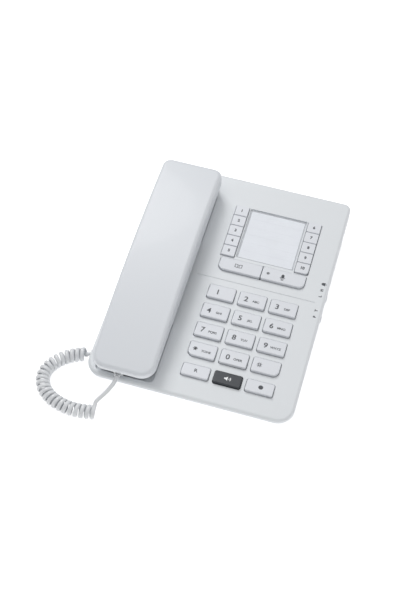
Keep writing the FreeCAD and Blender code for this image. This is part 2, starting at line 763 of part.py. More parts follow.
# ---- pieces inside the base
def inside():
    sheet = slab(key_left - mat_rim, key_right + mat_rim, function_row_front - mat_rim,
                 window_rear + mat_rim, mat_top - mat_thickness, mat_top, 2.0)
    opening = slab(window_left + 2, window_right - 2, window_front + 2, window_rear - 4,
                   mat_top - mat_thickness - 1, mat_top + 1, 2.0)
    domes = []
    for name, x0, x1, y0, y1, radii, sides in key_table():
        # the light stands in the middle of its key, so the dome is beside it
        shift = 9.0 if name == "key_mute" else 0.0
        domes.append(Part.makeCone(dome_radius, dome_radius - dome_taper, dome_height,
                                   Vector((x0 + x1) / 2 + shift, (y0 + y1) / 2, mat_top)))
    mat = joined([sheet.cut(opening)] + domes)
    led_hole = rod(*led_place, mat_top - mat_thickness - 1, mat_top + 1, led_radius + 0.5)
    parts["key_mat"] = tilted(less(mat, [led_hole]))

    board = slab(board_left, board_right, board_front, board_rear, board_top - board_thickness,
                 board_top, board_corner)
    holes = [rod(x, y, board_top - 5, board_top + 1, screw_shank + 0.2) for x, y in board_screw_places]
    parts["keypad_board"] = tilted(less(board, holes))
    screws = []
    for x, y in board_screw_places:
        low = board_top - board_thickness
        screws.append(joined([rod(x, y, low - 1.5, low, board_screw_head),
                              rod(x, y, low, board_top + board_screw_reach, screw_shank)]))
    parts["board_screws"] = tilted(Part.makeCompound(screws))

    x0, x1, y0, y1 = main_board_box
    parts["main_board"] = tilted(slab(x0, x1, y0, y1, main_board_top - board_thickness, main_board_top,
                                      board_corner))

    lens = joined([rod(*led_place, board_top, led_top - 1.1, led_radius),
                   Part.makeSphere(led_radius, Vector(*led_place, led_top - 1.1))])
    parts["in_use_led"] = tilted(lens)

    parts["microphone"] = rod(microphone_x, microphone_y, floor_top, floor_top + microphone_height,
                              microphone_radius)

    top = plate_under
    low = top - frame_height - cone_height
    frame = rod(speaker_x, speaker_y, top - frame_height, top, speaker_radius)
    frame = less(frame, [rod(speaker_x, speaker_y, top - 0.8, top + 1, speaker_radius - 3)])
    cone = Part.makeCone(magnet_radius + 1, speaker_radius - 3.5, cone_height,
                         Vector(speaker_x, speaker_y, low))
    magnet = rod(speaker_x, speaker_y, low - magnet_height, low, magnet_radius)
    parts["loudspeaker"] = tilted(joined([frame, cone, magnet]))

    x0, x1, y0, y1 = ballast_box
    parts["ballast_weight"] = slab(x0, x1, y0, y1, floor_top, floor_top + ballast_height, 2.0)


def cover_and_card():
    low = -window_sink - window_thickness - card_thickness
    m = card_margin
    card = slab(window_left + m, window_right - m, window_front + m, window_rear - m,
                low, low + card_thickness, 0.6)
    parts["index_card"] = tilted(card)
    g = cover_gap
    cover = slab(window_left + g, window_right - g, window_front + g, window_rear - g,
                 low + card_thickness, -window_sink, 0.8)
    cover = rounded(cover, 0.35, lambda e: e.BoundBox.ZMin > -window_sink - 0.01)
    parts["index_window"] = tilted(cover)


def hook():
    """Sprung plunger in the ear well; it is held down while the handset lies on it."""
    w, d = plunger_width / 2, plunger_length / 2
    top = cup_bottom - 0.1
    collar_top = -well_depth - well_floor - hook_travel - 0.4
    collar_low = collar_top - plunger_collar
    head = slab(plunger_x - w, plunger_x + w, plunger_y - d, plunger_y + d, collar_low, top, 1.0)
    head = rounded(head, 0.6, lambda e: e.BoundBox.ZMin > top - 0.01)
    wide, deep = w + plunger_collar, d + plunger_collar
    collar = slab(plunger_x - wide, plunger_x + wide, plunger_y - deep, plunger_y + deep,
                  collar_low, collar_top, 1.0)
    switch_top = main_board_top + hook_switch_height
    pin_low = main_board_top + 1.0
    pin = rod(plunger_x, plunger_y, pin_low, collar_low, 1.4)
    parts["hook_plunger"] = tilted(joined([head, collar, pin]))
    wide, deep = hook_switch_width / 2, hook_switch_length / 2
    housing = slab(plunger_x - wide, plunger_x + wide, plunger_y - deep, plunger_y + deep,
                   main_board_top, switch_top, 0.8)
    bore = rod(plunger_x, plunger_y, main_board_top + 0.5, switch_top + 1, 1.6)
    parts["hook_switch"] = tilted(less(housing, [bore]))
    reach = spring_radius - spring_wire / 2
    count = spring_turns * spring_steps
    rise = (collar_low - switch_top - spring_wire) / count
    points = []
    for number in range(count + 1):
        angle = 2 * math.pi * number / spring_steps
        points.append((plunger_x + reach * math.cos(angle), plunger_y + reach * math.sin(angle),
                       switch_top + spring_wire / 2 + rise * number))
    parts["hook_spring"] = tilted(tube_along(points, spring_wire / 2, "hook_spring"))


def slide_switches():
    bodies = []
    low, high = knob_level - knob_height / 2, knob_level + knob_height / 2
    inner = half - wall - 2.4
    for name, y in switch_places:
        body = box(inner - switch_depth, inner, y - switch_half_length, y + switch_half_length,
                   board_top, plate_under - 0.6)
        slot = box(inner - 4.0, inner + 1, y - (knob_length + switch_travel) / 2 - fit_gap,
                   y + (knob_length + switch_travel) / 2 + fit_gap, low - 0.2, high + 0.2)
        bodies.append(less(body, [slot]))
        y0 = y - (knob_length + switch_travel) / 2
        knob = box(inner - 3.5, half + knob_stand_out, y0, y0 + knob_length, low, high)
        knob = rounded(knob, 0.5, lambda e: e.BoundBox.XMin > half + knob_stand_out - 0.01)
        parts[name] = tilted(knob)
    parts["slide_switch_bodies"] = tilted(Part.makeCompound(bodies))


def fasteners_and_feet():
    feet = []
    for x, y in foot_places:
        foot = rod(x, y, 0, foot_height + foot_recess, foot_radius)
        feet.append(rounded(foot, 0.5, lambda e: e.BoundBox.ZMax < 0.01))
    parts["rubber_feet"] = Part.makeCompound(feet)
    screws = []
    for x, y, meet in housing_screws:
        low = foot_height + foot_recess
        head = rod(x, y, low, low + screw_head_height, screw_head_radius)
        recess = joined([box(x - 2, x + 2, y - 0.4, y + 0.4, foot_height, low + 0.8),
                         box(x - 0.4, x + 0.4, y - 2, y + 2, foot_height, low + 0.8)])
        shank = rod(x, y, low + screw_head_height, meet + screw_reach, housing_screw_radius)
        screws.append(joined([less(head, [recess]), shank]))
    parts["housing_screws"] = Part.makeCompound(screws)


def main():
    parts["top_housing"] = top_housing()
    parts["bottom_housing"] = bottom_housing()
    keys()
    inside()
    cover_and_card()
    hook()
    slide_switches()
    fasteners_and_feet()
    jacks()
    handset()
    plugs()
    cord()
    # the origin is the bottom centre of the telephone without its cord
    extent = FreeCAD.BoundBox()
    for name, shape in parts.items():
        if not name.startswith("cord_"):
            extent.add(shape.optimalBoundingBox(False, False))
    shift = Vector(-extent.Center.x, -extent.Center.y, 0)
    print("shift to the origin", round(shift.x, 4), round(shift.y, 4))
    os.makedirs("parts", exist_ok=True)
    for name, shape in parts.items():
        shape.translate(shift)
        if not shape.isValid() or len(shape.Solids) < 1:
            print("check", name, shape.isValid(), len(shape.Solids))
        shape.exportStep("parts/" + name + ".step")
    print(len(parts), "nodes")


main()
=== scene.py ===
import json
import math

import bmesh
import bpy
from mathutils import Matrix, Vector
from mathutils.bvhtree import BVHTree

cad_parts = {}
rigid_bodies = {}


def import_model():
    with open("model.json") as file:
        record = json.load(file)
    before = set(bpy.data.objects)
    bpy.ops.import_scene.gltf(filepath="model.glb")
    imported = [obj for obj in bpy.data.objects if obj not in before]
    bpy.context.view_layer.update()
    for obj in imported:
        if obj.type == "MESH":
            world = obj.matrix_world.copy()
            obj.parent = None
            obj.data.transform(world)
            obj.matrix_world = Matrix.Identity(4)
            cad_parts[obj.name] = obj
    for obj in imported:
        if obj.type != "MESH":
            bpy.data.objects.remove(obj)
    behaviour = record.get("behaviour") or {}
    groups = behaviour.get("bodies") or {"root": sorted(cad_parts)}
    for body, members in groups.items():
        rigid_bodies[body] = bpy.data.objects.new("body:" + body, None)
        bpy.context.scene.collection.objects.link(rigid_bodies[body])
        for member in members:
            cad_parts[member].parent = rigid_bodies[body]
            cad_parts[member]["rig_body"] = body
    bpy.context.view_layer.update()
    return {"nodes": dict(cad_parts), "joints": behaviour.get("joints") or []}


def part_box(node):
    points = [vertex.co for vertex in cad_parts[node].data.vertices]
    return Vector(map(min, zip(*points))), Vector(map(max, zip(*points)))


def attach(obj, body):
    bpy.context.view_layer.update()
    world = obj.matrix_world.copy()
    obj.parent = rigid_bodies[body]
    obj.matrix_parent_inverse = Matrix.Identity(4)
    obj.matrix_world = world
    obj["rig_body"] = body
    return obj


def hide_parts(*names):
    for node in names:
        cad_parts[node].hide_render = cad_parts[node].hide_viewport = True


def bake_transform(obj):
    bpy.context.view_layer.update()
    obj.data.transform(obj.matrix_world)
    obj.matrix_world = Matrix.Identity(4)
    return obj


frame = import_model()
nodes = frame["nodes"]
mm = 0.001
print("stage: frame loaded,", len(nodes), "nodes")

# The panel's own axes: x to the right, p up the slope from its front edge, n out of its face.
axisOf = {joint["name"]: Vector(joint["axis"]) for joint in frame["joints"]}
slope = axisOf["ringer_slide"].normalized()
normal = -axisOf["key_1_press"].normalized()
right = Vector((1.0, 0.0, 0.0))
shellPoints = [v.co for v in nodes["top_housing"].data.vertices]
panelFront = min(point.dot(slope) for point in shellPoints)
panelLevel = max(point.dot(normal) for point in shellPoints)


def onPanel(x, p, n=0.0):
    return right * x + slope * (panelFront + p) + normal * (panelLevel + n)


def panelBox(node):
    # lowest and highest (x, p, n) of a CAD node
    places = [v.co for v in nodes[node].data.vertices]
    ways = ([c.x for c in places], [c.dot(slope) - panelFront for c in places],
            [c.dot(normal) - panelLevel for c in places])
    return Vector([min(way) for way in ways]), Vector([max(way) for way in ways])


# camera, floor and light
shellLow, shellHigh = panelBox("top_housing")
middle = (shellLow.x + shellHigh.x) / 2
view = {
    "aim": (-13.55, 87.44),    # x from the middle, and p, in mm
    "azimuth": 13.79, "elevation": 52.92, "distance": 0.9755, "roll": 3.02, "lens": 71.88,
}


def setCamera():
    azimuth, elevation = math.radians(view["azimuth"]), math.radians(view["elevation"])
    forward = Vector((-math.sin(azimuth) * math.cos(elevation),
                      math.cos(azimuth) * math.cos(elevation), -math.sin(elevation)))
    level = forward.cross(Vector((0, 0, 1))).normalized()
    upward = level.cross(forward)
    roll = math.radians(view["roll"])
    side = level * math.cos(roll) + upward * math.sin(roll)
    upward = side.cross(forward)
    camera = bpy.data.objects.new("camera", bpy.data.cameras.new("camera"))
    bpy.context.scene.collection.objects.link(camera)
    aim = onPanel(middle + view["aim"][0] * mm, view["aim"][1] * mm)
    place = aim - forward * view["distance"]
    turn = Matrix((side, upward, -forward)).transposed().to_4x4()
    camera.matrix_world = Matrix.Translation(place) @ turn
    camera.data.lens = view["lens"]
    camera.data.sensor_fit = "AUTO"
    camera.data.clip_start = 0.01
    bpy.context.scene.camera = camera


lamps = {
    "window": {"place": (-0.85, 1.05, 1.75), "size": 1.0, "power": 17.5},
    "overhead": {"place": (-0.3, 0.1, 1.9), "size": 1.6, "power": 7.0},
    "front": {"place": (1.0, -1.0, 0.9), "size": 1.2, "power": 2.2},
}


def addLamp(name, place, size, power):
    data = bpy.data.lights.new(name, "AREA")
    data.shape = "DISK"
    data.size = size
    data.energy = power
    lamp = bpy.data.objects.new(name, data)
    bpy.context.scene.collection.objects.link(lamp)
    lamp.location = place
    lamp.rotation_euler = (-Vector(place)).to_track_quat("-Z", "Y").to_euler()


def newMesh(name, vertices, faces, material=None):
    mesh = bpy.data.meshes.new(name)
    mesh.from_pydata([tuple(v) for v in vertices], [], faces)
    mesh.update()
    piece = bpy.data.objects.new(name, mesh)
    bpy.context.scene.collection.objects.link(piece)
    if material:
        mesh.materials.append(material)
    return piece


def newMaterial(name, colour, roughness, metallic=0.0, coat=0.0):
    material = bpy.data.materials.new(name)
    material.use_nodes = True
    shader = material.node_tree.nodes["Principled BSDF"]
    shader.inputs["Base Color"].default_value = (*colour, 1.0)
    shader.inputs["Roughness"].default_value = roughness
    shader.inputs["Metallic"].default_value = metallic
    shader.inputs["Coat Weight"].default_value = coat
    material.diffuse_color = (*colour, 1.0)
    return material, material.node_tree, shader


def setStage():
    reach = 4.0
    corners = ((-reach, -reach, 0), (reach, -reach, 0), (reach, reach, 0), (-reach, reach, 0))
    white, _, shader = newMaterial("studioFloor", (0.93, 0.93, 0.93), 0.9)
    shader.inputs["Emission Color"].default_value = (1, 1, 1, 1)
    shader.inputs["Emission Strength"].default_value = 0.5
    floor = newMesh("studio_floor", corners, [(0, 1, 2, 3)], white)
    world = bpy.data.worlds.new("studio")
    world.use_nodes = True
    world.node_tree.nodes["Background"].inputs["Color"].default_value = (1, 1, 1, 1)
    world.node_tree.nodes["Background"].inputs["Strength"].default_value = 0.48
    bpy.context.scene.world = world
    bpy.context.scene.view_settings.view_transform = "Standard"
    for name, values in lamps.items():
        addLamp(name, **values)


setCamera()
setStage()
print("stage: camera, floor and light")


# shader groups shared by several materials
def mathNode(tree, operation, first, second):
    node = tree.nodes.new("ShaderNodeMath")
    node.operation = operation
    for socket, value in zip(node.inputs, (first, second)):
        if isinstance(value, (int, float)):
            socket.default_value = value
        else:
            tree.links.new(value, socket)
    return node.outputs[0]


def noiseNode(tree, place, scale, detail=2.0, roughness=0.5):
    node = tree.nodes.new("ShaderNodeTexNoise")
    node.inputs["Detail"].default_value = detail
    node.inputs["Roughness"].default_value = roughness
    tree.links.new(place, node.inputs["Vector"])
    if isinstance(scale, (int, float)):
        node.inputs["Scale"].default_value = scale
    else:
        tree.links.new(scale, node.inputs["Scale"])
    return node.outputs["Fac"]


def startGroup(name, inputs, outputs):
    group = bpy.data.node_groups.new(name, "ShaderNodeTree")
    for label, kind, value in inputs:
        socket = group.interface.new_socket(name=label, in_out="INPUT", socket_type=kind)
        if value is not None:
            socket.default_value = value
    for label, kind in outputs:
        group.interface.new_socket(name=label, in_out="OUTPUT", socket_type=kind)
    given = group.nodes.new("NodeGroupInput").outputs
    return group, given, group.nodes.new("NodeGroupOutput").inputs


def buildMouldedGrain():
    # the fine spark-eroded texture of a moulding, with slow drifts of tone and gloss
    group, given, out = startGroup("mouldedGrain", (
        ("Colour", "NodeSocketColor", (0.8, 0.8, 0.8, 1.0)), ("Grain Scale", "NodeSocketFloat", 2600.0),
        ("Tone Drift", "NodeSocketFloat", 0.05), ("Base Roughness", "NodeSocketFloat", 0.4),
        ("Gloss Drift", "NodeSocketFloat", 0.1)),
        (("Colour", "NodeSocketColor"), ("Roughness", "NodeSocketFloat"), ("Height", "NodeSocketFloat")))
    place = group.nodes.new("ShaderNodeTexCoord").outputs["Object"]
    fine = noiseNode(group, place, given["Grain Scale"], 3.0, 0.65)
    slow = noiseNode(group, place, 14.0, 4.0, 0.55)
    middle = noiseNode(group, place, 160.0, 3.0, 0.6)
    drift = mathNode(group, "MULTIPLY", mathNode(group, "SUBTRACT", slow, 0.5), given["Tone Drift"])
    speck = mathNode(group, "MULTIPLY", mathNode(group, "SUBTRACT", fine, 0.5),
                     mathNode(group, "MULTIPLY", given["Tone Drift"], 0.7))
    tone = mathNode(group, "ADD", mathNode(group, "ADD", drift, speck), 1.0)
    scale = group.nodes.new("ShaderNodeVectorMath")
    scale.operation = "SCALE"
    group.links.new(given["Colour"], scale.inputs[0])
    group.links.new(tone, scale.inputs["Scale"])
    gloss = mathNode(group, "MULTIPLY", mathNode(group, "SUBTRACT", middle, 0.5), given["Gloss Drift"])
    group.links.new(scale.outputs[0], out["Colour"])
    group.links.new(mathNode(group, "ADD", gloss, given["Base Roughness"]), out["Roughness"])
    group.links.new(mathNode(group, "ADD", fine, mathNode(group, "MULTIPLY", middle, 0.3)), out["Height"])
    return group


def buildEdgeHighlightAndShade():
    # masks from the surface's pointiness, broken up in patches: raised edges, painted lighter as a highlight and
    # made glossier as polish, and hollow corners, painted darker as shade
    group, given, out = startGroup("edgeHighlightAndShade", (
        ("Patch Scale", "NodeSocketFloat", 45.0), ("Sharpness", "NodeSocketFloat", 6.0)),
        (("HighlightAndPolish", "NodeSocketFloat"), ("CavityShade", "NodeSocketFloat")))
    geometry = group.nodes.new("ShaderNodeNewGeometry")
    place = group.nodes.new("ShaderNodeTexCoord").outputs["Object"]
    patch = noiseNode(group, place, given["Patch Scale"], 3.0, 0.6)
    # raised edges make the mask for the painted highlight and the polish; hollow corners make the mask for the
    # painted shade
    for label, sign in (("HighlightAndPolish", 1.0), ("CavityShade", -1.0)):
        pointed = mathNode(group, "SUBTRACT", geometry.outputs["Pointiness"], 0.5)
        bent = mathNode(group, "MULTIPLY", pointed, sign)
        mask = mathNode(group, "MULTIPLY", mathNode(group, "MULTIPLY", bent, given["Sharpness"]), patch)
        clamp = group.nodes.new("ShaderNodeClamp")
        group.links.new(mask, clamp.inputs["Value"])
        group.links.new(clamp.outputs[0], out[label])
    return group


mouldedGrain = buildMouldedGrain()
edgeHighlightAndShade = buildEdgeHighlightAndShade()


def mixColours(tree, share, first, second):
    node = tree.nodes.new("ShaderNodeMix")
    node.data_type = "RGBA"
    tree.links.new(share, node.inputs["Factor"])
    for socket, value in ((node.inputs["A"], first), (node.inputs["B"], second)):
        if isinstance(value, tuple):
            socket.default_value = value
        else:
            tree.links.new(value, socket)
    return node.outputs["Result"]


def addBump(tree, shader, height, strength, distance):
    bump = tree.nodes.new("ShaderNodeBump")
    bump.inputs["Strength"].default_value = strength
    bump.inputs["Distance"].default_value = distance
    tree.links.new(height, bump.inputs["Height"])
    tree.links.new(bump.outputs["Normal"], shader.inputs["Normal"])


# a lift for the painted highlight on raised edges, a factor for the painted shade in hollow corners, the gloss
# that polish adds on raised edges, and the strength of the grain's bump
edgeShadingAndPolish = {"edgeHighlight": 0.06, "hollowShade": 0.78, "polish": 0.15, "bumpStrength": 0.35}


def mouldedMaterial(name, colour, roughness, grain, drift, bump, coat=0.0, gloss=0.1, edgeLightShadeStrength=0.5):
    # colour is linear; grain is cells per metre; bump is its depth in millimetres; the last argument sets how
    # strongly raised edges are painted lighter as a highlight and hollow corners darker as shade
    material, tree, shader = newMaterial(name, colour, roughness, coat=coat)
    group = tree.nodes.new("ShaderNodeGroup")
    group.node_tree = mouldedGrain
    group.inputs["Colour"].default_value = (*colour, 1.0)
    group.inputs["Grain Scale"].default_value = grain
    group.inputs["Tone Drift"].default_value = drift
    group.inputs["Base Roughness"].default_value = roughness
    group.inputs["Gloss Drift"].default_value = gloss
    edges = tree.nodes.new("ShaderNodeGroup")
    edges.node_tree = edgeHighlightAndShade
    # the colour painted lighter on raised edges, as a highlight
    edgeHighlight = tuple(min(1.0, c + edgeShadingAndPolish["edgeHighlight"]) for c in colour)
    # the colour painted darker in hollow corners, as shade
    hollowShade = tuple(c * edgeShadingAndPolish["hollowShade"] for c in colour)
    highlightShare = mathNode(tree, "MULTIPLY", edges.outputs["HighlightAndPolish"], edgeLightShadeStrength)
    highlighted = mixColours(tree, highlightShare, group.outputs["Colour"], (*edgeHighlight, 1.0))
    shadeShare = mathNode(tree, "MULTIPLY", edges.outputs["CavityShade"], edgeLightShadeStrength)
    shaded = mixColours(tree, shadeShare, highlighted, (*hollowShade, 1.0))
    tree.links.new(shaded, shader.inputs["Base Color"])
    polish = mathNode(tree, "MULTIPLY", edges.outputs["HighlightAndPolish"], edgeShadingAndPolish["polish"])
    matt = mathNode(tree, "SUBTRACT", group.outputs["Roughness"], polish)
    tree.links.new(matt, shader.inputs["Roughness"])
    addBump(tree, shader, group.outputs["Height"], edgeShadingAndPolish["bumpStrength"], bump * mm)
    return material


# materials
finishes = {
    "shellPlastic": {"colour": (0.70, 0.725, 0.75), "roughness": 0.42,
                     "grain": 2400.0, "drift": 0.03, "bump": 0.05},
    "handsetPlastic": {"colour": (0.655, 0.68, 0.715), "roughness": 0.34,
                       "grain": 2800.0, "drift": 0.025, "bump": 0.03, "coat": 0.08},
    "keyPlastic": {"colour": (0.70, 0.72, 0.76), "roughness": 0.38,
                   "grain": 3200.0, "drift": 0.02, "bump": 0.02},
    "darkKeyPlastic": {"colour": (0.035, 0.04, 0.048), "roughness": 0.36,
                       "grain": 3200.0, "drift": 0.10, "bump": 0.02},
    "plungerPlastic": {"colour": (0.62, 0.64, 0.66), "roughness": 0.4,
                       "grain": 3000.0, "drift": 0.03, "bump": 0.02},
    "footRubber": {"colour": (0.09, 0.093, 0.097), "roughness": 0.8,
                   "grain": 1800.0, "drift": 0.15, "bump": 0.08},
    "matSilicone": {"colour": (0.42, 0.44, 0.46), "roughness": 0.55,
                    "grain": 1500.0, "drift": 0.05, "bump": 0.03},
    "blackNylon": {"colour": (0.02, 0.02, 0.022), "roughness": 0.45,
                   "grain": 2200.0, "drift": 0.12, "bump": 0.03},
    "boardLaminate": {"colour": (0.02, 0.12, 0.05), "roughness": 0.35,
                      "grain": 900.0, "drift": 0.2, "bump": 0.02, "coat": 0.3},
    "capsuleCan": {"colour": (0.52, 0.52, 0.54), "roughness": 0.35,
                   "grain": 1600.0, "drift": 0.08, "bump": 0.02},
    "ledLens": {"colour": (0.28, 0.29, 0.30), "roughness": 0.18,
                "grain": 1200.0, "drift": 0.1, "bump": 0.01, "coat": 0.5},
    "cardPaper": {"colour": (0.80, 0.825, 0.87), "roughness": 0.7,
                  "grain": 1400.0, "drift": 0.04, "bump": 0.02},
    "darkInk": {"colour": (0.045, 0.05, 0.06), "roughness": 0.5,
                "grain": 2500.0, "drift": 0.25, "bump": 0.01},
    "greyInk": {"colour": (0.22, 0.235, 0.26), "roughness": 0.5,
                "grain": 2500.0, "drift": 0.2, "bump": 0.01},
    "paleInk": {"colour": (0.66, 0.68, 0.72), "roughness": 0.5,
                "grain": 2500.0, "drift": 0.1, "bump": 0.01},
    "whiteInk": {"colour": (0.85, 0.86, 0.87), "roughness": 0.5,
                 "grain": 2500.0, "drift": 0.05, "bump": 0.01},
    "cordVinyl": {"colour": (0.68, 0.695, 0.715), "roughness": 0.33,
                  "grain": 900.0, "drift": 0.06, "bump": 0.02, "coat": 0.15},
}
paint = {name: mouldedMaterial(name, **values) for name, values in finishes.items()}


def metalMaterial(name, colour, roughness, scale):
    # drawn or plated metal with fine streaks along x
    material, tree, shader = newMaterial(name, colour, roughness, metallic=1.0)
    place = tree.nodes.new("ShaderNodeTexCoord").outputs["Object"]
    stretch = tree.nodes.new("ShaderNodeMapping")
    stretch.inputs["Scale"].default_value = (0.08, 1.0, 1.0)
    tree.links.new(place, stretch.inputs["Vector"])
    streaks = noiseNode(tree, stretch.outputs["Vector"], scale, 4.0, 0.7)
    shift = mathNode(tree, "MULTIPLY", mathNode(tree, "SUBTRACT", streaks, 0.5), 0.25)
    tree.links.new(mathNode(tree, "ADD", shift, roughness), shader.inputs["Roughness"])
    dull = tuple(c * 0.8 for c in colour)
    streaked = mixColours(tree, streaks, (*dull, 1.0), (*colour, 1.0))
    tree.links.new(streaked, shader.inputs["Base Color"])
    addBump(tree, shader, streaks, 0.2, 0.01 * mm)
    return material


def clearMaterial(name, colour, roughness, alpha):
    # thin clear plastic that lets what is under it show
    material, tree, shader = newMaterial(name, colour, roughness, coat=0.3)
    place = tree.nodes.new("ShaderNodeTexCoord").outputs["Object"]
    haze = noiseNode(tree, place, 60.0, 3.0, 0.6)
    tree.links.new(mathNode(tree, "MULTIPLY", haze, roughness * 2), shader.inputs["Roughness"])
    cloudy = mathNode(tree, "MULTIPLY", haze, 0.06)
    tree.links.new(mathNode(tree, "ADD", cloudy, alpha), shader.inputs["Alpha"])
    return material


paint["platedSteel"] = metalMaterial("platedSteel", (0.55, 0.55, 0.57), 0.32, 900.0)
paint["goldPlate"] = metalMaterial("goldPlate", (0.83, 0.60, 0.22), 0.22, 1200.0)
paint["clearCover"] = clearMaterial("clearCover", (0.85, 0.87, 0.9), 0.08, 0.03)
paint["clearPlug"] = clearMaterial("clearPlug", (0.78, 0.8, 0.82), 0.12, 0.5)
print("stage: materials,", len(paint))


# cord: coil from the base, straight lead up to the handset
cordFacts = {
    "wide": 3.4 * mm, "thick": 2.0 * mm, "sides": 12,             # the wire's oval section
    "coil": 4.95 * mm, "turns": 24, "stepsPerTurn": 22,           # radius of the wire's middle
    "coilBegins": 0.012, "coilShare": 0.976, "leave": 3.2,        # shares of the route; mm straight on at its end
    "coilSteps": ((0, 0, 0), (-12.0, -4.0, -1.2), (-23.5, -13.0, -1.8), (-29.8, -26.0, -1.8),
                  (-26.2, -39.4, -1.8), (-14.6, -48.8, -1.8), (0.0, -52.6, -1.8),
                  (12.4, -52.2, -1.8), (22.0, -49.8, -1.8)),
    "leadSteps": ((0, 0, 0), (0, -4.97, -0.57), (-2.4, -10.5, -3.2), (-6.2, -15.9, -6.4),
                  (-10.3, -21.3, -9.0)),
}


def splineThrough(points, samples):
    # the points that a NURBS spline on these control points passes, read back from Blender
    curve = bpy.data.curves.new("route", "CURVE")
    curve.dimensions = "3D"
    spline = curve.splines.new("NURBS")
    spline.points.add(len(points) - 1)
    for point, place in zip(spline.points, points):
        point.co = (*place, 1.0)
    spline.order_u = 3
    spline.use_endpoint_u = True
    curve.resolution_u = samples
    holder = bpy.data.objects.new("route", curve)
    bpy.context.scene.collection.objects.link(holder)
    bpy.context.view_layer.update()
    line = bpy.data.meshes.new_from_object(holder)
    places = [v.co.copy() for v in line.vertices]
    bpy.data.objects.remove(holder)
    bpy.data.meshes.remove(line)
    return places


def runningLength(places):
    lengths = [0.0]
    for before, after in zip(places, places[1:]):
        lengths.append(lengths[-1] + (after - before).length)
    return lengths


def placeAlong(places, lengths, distance):
    # point and direction at a distance along a polyline
    index = 0
    while index < len(lengths) - 2 and lengths[index + 1] < distance:
        index += 1
    step = places[index + 1] - places[index]
    share = (distance - lengths[index]) / max(step.length, 1e-9)
    return places[index] + step * share, step.normalized()


def coilCentres(start):
    route = splineThrough([start + Vector(step) * mm for step in cordFacts["coilSteps"]], 48)
    lengths = runningLength(route)
    turns, steps = cordFacts["turns"], cordFacts["stepsPerTurn"]
    begins, covers = cordFacts["coilBegins"], cordFacts["coilShare"]
    count = turns * steps
    up = Vector((0, 0, 1))
    centres, axes = [route[0]], [(route[1] - route[0]).normalized()]
    for number in range(count + 1):
        share = number / count
        centre, along = placeAlong(route, lengths, lengths[-1] * (begins + covers * share))
        side = along.cross(up).normalized()
        rise = side.cross(along)
        angle = 2 * math.pi * (turns * share)
        opened = min(1.0, number / steps)
        radius = cordFacts["coil"] * opened * opened * (3 - 2 * opened)
        centres.append(centre + (rise * math.cos(angle) - side * math.sin(angle)) * radius)
        axes.append(along)
    return centres, axes


def wireRings(centres, axes, sides):
    # oval rings: in the coil the wire's width lies along the coil, and past it the oval
    # is carried on without twist
    count = len(centres)
    ways = [(centres[min(n + 1, count - 1)] - centres[max(n - 1, 0)]).normalized()
            for n in range(count)]
    flats = [axis - way * axis.dot(way) for axis, way in zip(axes, ways)]
    known = [n for n, flat in enumerate(flats) if flat.length > 0.6]
    widths = [None] * count
    for n in list(range(known[0], count)) + list(range(known[0] - 1, -1, -1)):
        if n in known:
            across = flats[n]
        elif n < known[0]:
            across = widths[n + 1]
        widths[n] = across = (across - ways[n] * across.dot(ways[n])).normalized()
    wide, thick = cordFacts["wide"] / 2, cordFacts["thick"] / 2
    vertices = []
    for centre, way, across in zip(centres, ways, widths):
        other = way.cross(across)
        for step in range(sides):
            angle = 2 * math.pi * step / sides
            vertices.append(centre + across * (math.cos(angle) * wide)
                            + other * (math.sin(angle) * thick))
    faces = [tuple(reversed(range(sides)))]
    for number in range(count - 1):
        low, high = number * sides, (number + 1) * sides
        for step in range(sides):
            after = (step + 1) % sides
            faces.append((low + step, low + after, high + after, high + step))
    faces.append(tuple(range((count - 1) * sides, count * sides)))
    return vertices, faces


def makeCord():
    low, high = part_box("cord_plug_base")
    start = Vector((low.x, (low.y + high.y) / 2, (low.z + high.z) / 2))
    near, far = panelBox("cord_plug_handset")
    end = onPanel((near.x + far.x) / 2, near.y, (near.z + far.z) / 2)
    centres, axes = coilCentres(start)
    leave = (centres[-1] - centres[-2]).normalized()
    lead = [end + Vector(step) * mm for step in cordFacts["leadSteps"]]
    lead.append(centres[-1] + leave * cordFacts["leave"] * mm)
    lead.append(centres[-1])
    centres += list(reversed(splineThrough(lead, 12)))[1:]
    vertices, faces = wireRings(centres, axes, cordFacts["sides"])
    cord = newMesh("handset_cord", vertices, faces, paint["cordVinyl"])
    for face in cord.data.polygons:
        face.use_smooth = True
    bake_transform(cord)
    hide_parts("cord_coil", "cord_tail")


makeCord()


# finished copies of the CAD pieces that show
def finishedCopy(node, materialName, angle=32.0):
    # the CAD node's own shape, merged and with smooth rounds and crisp edges
    source = nodes[node]
    mesh = source.data.copy()
    mesh.materials.clear()
    mesh.materials.append(paint[materialName])
    work = bmesh.new()
    work.from_mesh(mesh)
    bmesh.ops.remove_doubles(work, verts=work.verts, dist=0.002 * mm)
    bmesh.ops.dissolve_degenerate(work, edges=work.edges, dist=0.0005 * mm)
    work.to_mesh(mesh)
    work.free()
    if "custom_normal" in mesh.attributes:
        mesh.attributes.remove(mesh.attributes["custom_normal"])
    piece = bpy.data.objects.new(node + "_finished", mesh)
    bpy.context.scene.collection.objects.link(piece)
    for face in mesh.polygons:
        face.use_smooth = True
        face.material_index = 0
    mesh.set_sharp_from_angle(angle=math.radians(angle))
    weigh = piece.modifiers.new("faceWeights", "WEIGHTED_NORMAL")
    weigh.keep_sharp = True
    weigh.weight = 100
    bpy.context.view_layer.update()
    graph = bpy.context.evaluated_depsgraph_get()
    done = bpy.data.meshes.new_from_object(piece.evaluated_get(graph))
    piece.modifiers.clear()
    piece.data = done
    piece.data.name = piece.name
    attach(piece, source["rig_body"])
    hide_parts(node)
    return piece


